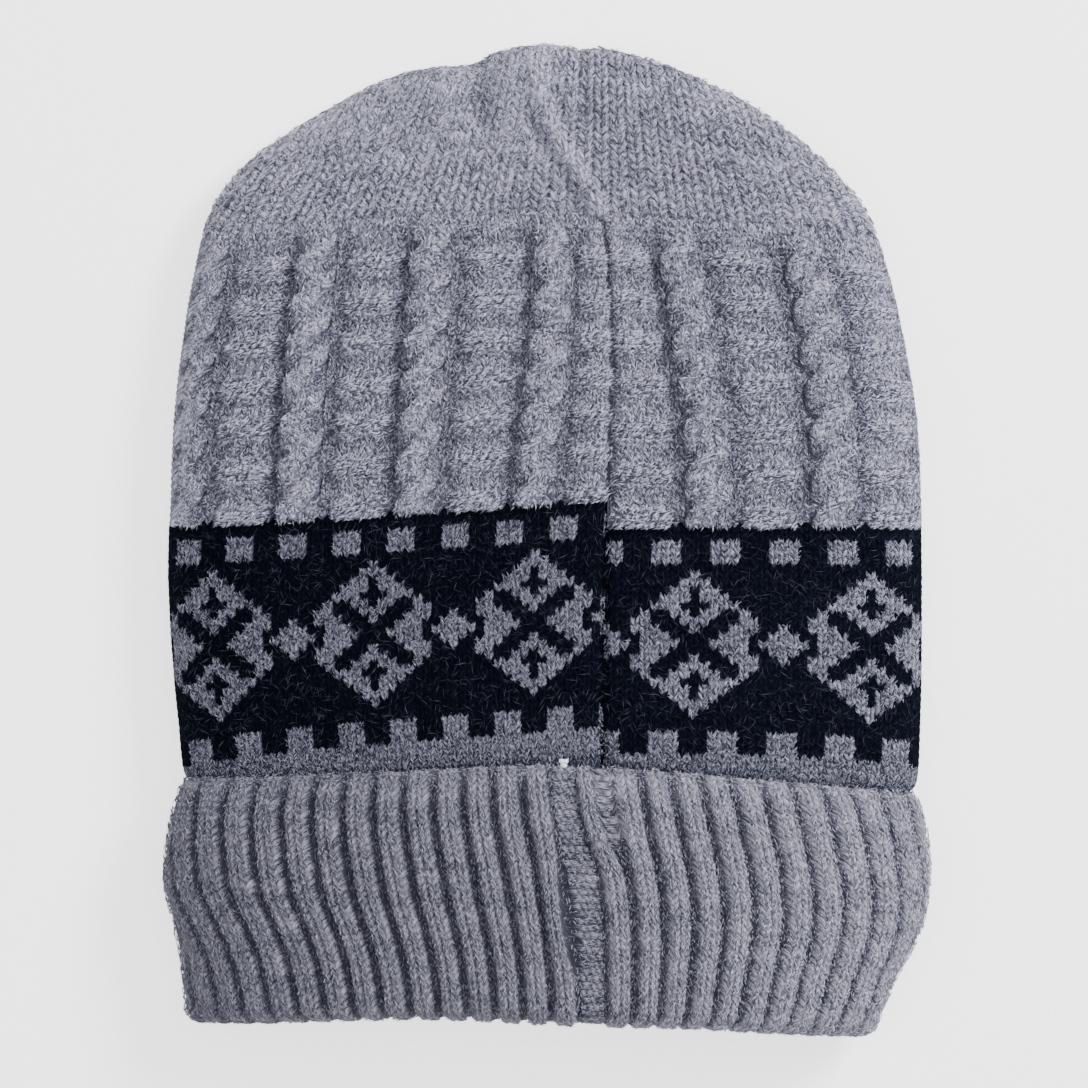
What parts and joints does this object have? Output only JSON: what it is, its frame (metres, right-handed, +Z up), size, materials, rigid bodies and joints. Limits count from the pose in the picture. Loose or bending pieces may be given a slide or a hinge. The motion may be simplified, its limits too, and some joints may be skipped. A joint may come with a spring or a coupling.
{
  "type": "winter cap",
  "caption": "Knitted winter cap lying flat: cabled grey crown, dark band with light diamonds, ribbed cuff turned up over it, and a hollow open at the fold.",
  "frame": {"origin": "under the middle of the cap, on the surface that it lies on", "axes": "+X across the cap to the right of its seam side, +Y from the folded brim to the crown, +Z up"},
  "size_m": [0.2068, 0.2693, 0.0306],
  "materials": {
    "grey_knit": "matt melange yarn, slightly fuzzy",
    "dark_knit": "matt brushed yarn with light motifs",
    "rib_knit": "matt melange yarn, ribbed"
  },
  "bodies": {
    "root": {"crown": "grey_knit", "pattern_band": "dark_knit", "cuff": "rib_knit"}
  },
  "joints": []
}
